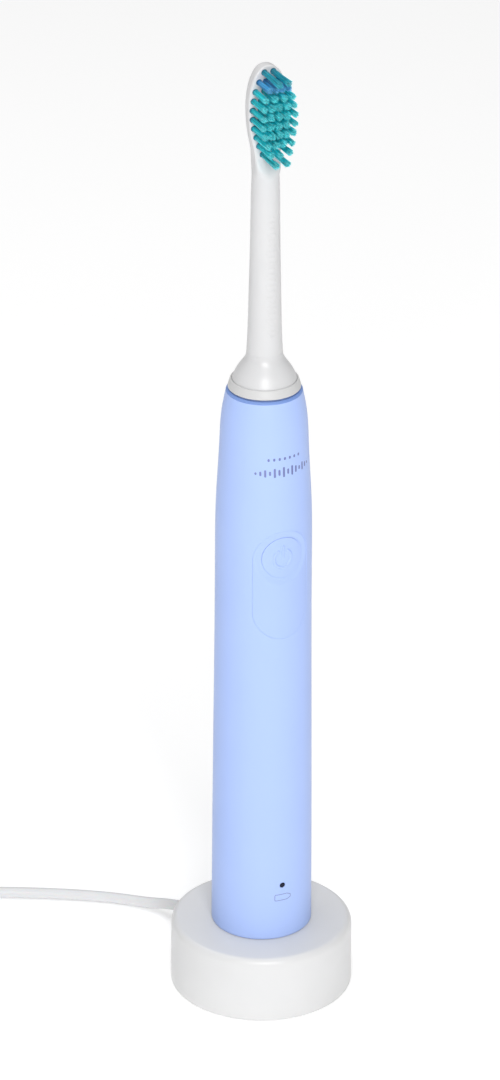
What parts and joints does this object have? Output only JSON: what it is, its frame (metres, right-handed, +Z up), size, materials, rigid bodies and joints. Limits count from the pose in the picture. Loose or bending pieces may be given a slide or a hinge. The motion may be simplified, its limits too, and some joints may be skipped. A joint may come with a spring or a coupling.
{
  "type": "electric toothbrush on charger",
  "caption": "Rechargeable sonic toothbrush with a slim round handle and push-on bristle head, standing on a low round charging puck with a thin mains cord and plug.",
  "frame": {"origin": "centre of the charger's underside, on the surface that it stands on", "axes": "+Z up along the brush's axis; the button and bristles face -Y; the cord leaves near +Y"},
  "size_m": [0.1498, 0.1072, 0.2704],
  "materials": {
    "charger_shell": "fine satin white ABS",
    "ferrite": "sintered",
    "bobbin_plastic": "glass-filled nylon",
    "copper_wire": "enamelled winding",
    "circuit_board": "green solder mask",
    "component_plastic": "moulded black",
    "lead_insulation": "blue insulation",
    "cord_jacket": "soft white jacket",
    "plug_shell": "white moulding",
    "pin_sleeve": "white sleeve",
    "pin_metal": "nickel plated",
    "handle_shell": "satin light blue ABS",
    "soft_panel": "light blue soft-touch",
    "soft_button": "light blue soft-touch",
    "seal_rubber": "matt",
    "smoked_lens": "smoked",
    "battery_sleeve": "shrink sleeve",
    "spring_steel": "stainless",
    "led_epoxy": "clear epoxy",
    "motor_steel": "laminated",
    "bearing_bronze": "sintered bronze",
    "magnet": "nickel plated",
    "ring_plastic": "off-white",
    "brush_plastic": "white polypropylene",
    "insert_plastic": "acetal",
    "teal_bristle": "nylon filament",
    "blue_bristle": "nylon filament",
    "anchor_brass": "bright"
  },
  "bodies": {
    "charger": {"charger_cover": "charger_shell", "charger_base": "charger_shell", "charger_ferrite": "ferrite", "charger_bobbin": "bobbin_plastic", "charger_coil": "copper_wire", "charger_board": "circuit_board", "charger_components": "component_plastic", "charger_leads": "lead_insulation", "strain_relief": "cord_jacket", "cord": "cord_jacket", "cord_coil": "cord_jacket", "cord_tail": "cord_jacket", "plug_body": "plug_shell", "plug_sleeves": "pin_sleeve", "plug_pins": "pin_metal"},
    "handle": {"handle_housing": "handle_shell", "button_panel": "soft_panel", "button_seal": "seal_rubber", "indicator_lens": "smoked_lens", "bottom_cap": "handle_shell", "bottom_seal": "seal_rubber", "receiver_bobbin": "bobbin_plastic", "receiver_coil": "copper_wire", "chassis": "bobbin_plastic", "battery_cell": "battery_sleeve", "battery_tabs": "spring_steel", "main_board": "circuit_board", "board_components": "component_plastic", "tact_switch": "component_plastic", "charge_led": "led_epoxy", "drive_frame": "bobbin_plastic", "torsion_spring": "spring_steel", "stator_core": "motor_steel", "stator_coils": "copper_wire", "lower_bearing": "bearing_bronze", "upper_bearing": "bearing_bronze", "drive_mounts": "seal_rubber", "shaft_seal": "seal_rubber", "nose_cap": "handle_shell"},
    "button": {"power_button": "soft_button", "switch_plunger": "component_plastic"},
    "drive": {"rotor_hub": "motor_steel", "rotor_magnets": "magnet", "drive_shaft": "spring_steel"},
    "brush_head": {"brush_ring": "ring_plastic", "brush_collar": "brush_plastic", "brush_neck": "brush_plastic", "brush_insert": "insert_plastic", "clip_spring": "spring_steel", "tufts_tip": "teal_bristle", "tufts_blue": "blue_bristle", "tufts_side": "teal_bristle", "tufts_middle": "teal_bristle", "tufts_heel": "teal_bristle", "tuft_anchors": "anchor_brass"}
  },
  "joints": [
    {"name": "handle_lift", "type": "slide", "parent": "charger", "child": "handle", "axis": [0, 0, 1], "range_m": [0, 0.06]},
    {"name": "button_press", "type": "slide", "parent": "handle", "child": "button", "axis": [0, 1, 0], "range_m": [0, 0.00045], "stiffness_N_per_m": 3000, "springref_m": -0.0003},
    {"name": "shaft_oscillation", "type": "hinge", "parent": "handle", "child": "drive", "pos_m": [0, 0, 0.12], "axis": [0, 0, 1], "range_deg": [-6, 6], "stiffness_Nm_per_rad": 0.5, "deforming": ["torsion_spring"]},
    {"name": "head_pull", "type": "slide", "parent": "drive", "child": "brush_head", "axis": [0, 0, 1], "range_m": [0, 0.025]}
  ]
}
